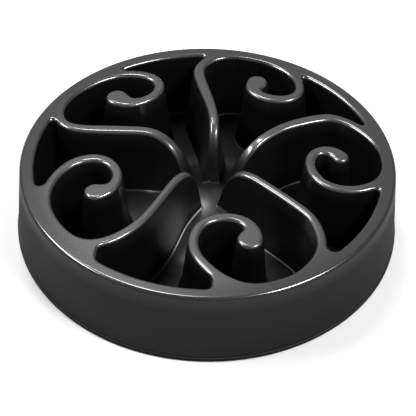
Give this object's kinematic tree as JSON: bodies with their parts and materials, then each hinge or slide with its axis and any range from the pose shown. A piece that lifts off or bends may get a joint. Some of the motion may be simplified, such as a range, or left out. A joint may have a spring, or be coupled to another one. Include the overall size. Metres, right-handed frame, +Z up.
{
  "type": "slow feeder bowl",
  "caption": "Round slow feeder bowl with a maze of curled ridges, a domed floor and a soft foot ring.",
  "frame": {"origin": "centre of the bowl on the ground, at the underside of the foot ring", "axes": "+Z up along the rim's axis; -Y towards the viewer of the picture; +X to the right in it"},
  "size_m": [0.2701, 0.27, 0.055],
  "materials": {
    "bowl_plastic": "satin gloss",
    "foot_rubber": "matt"
  },
  "bodies": {
    "root": {"maze_bowl": "bowl_plastic", "foot_ring": "foot_rubber"}
  },
  "joints": []
}
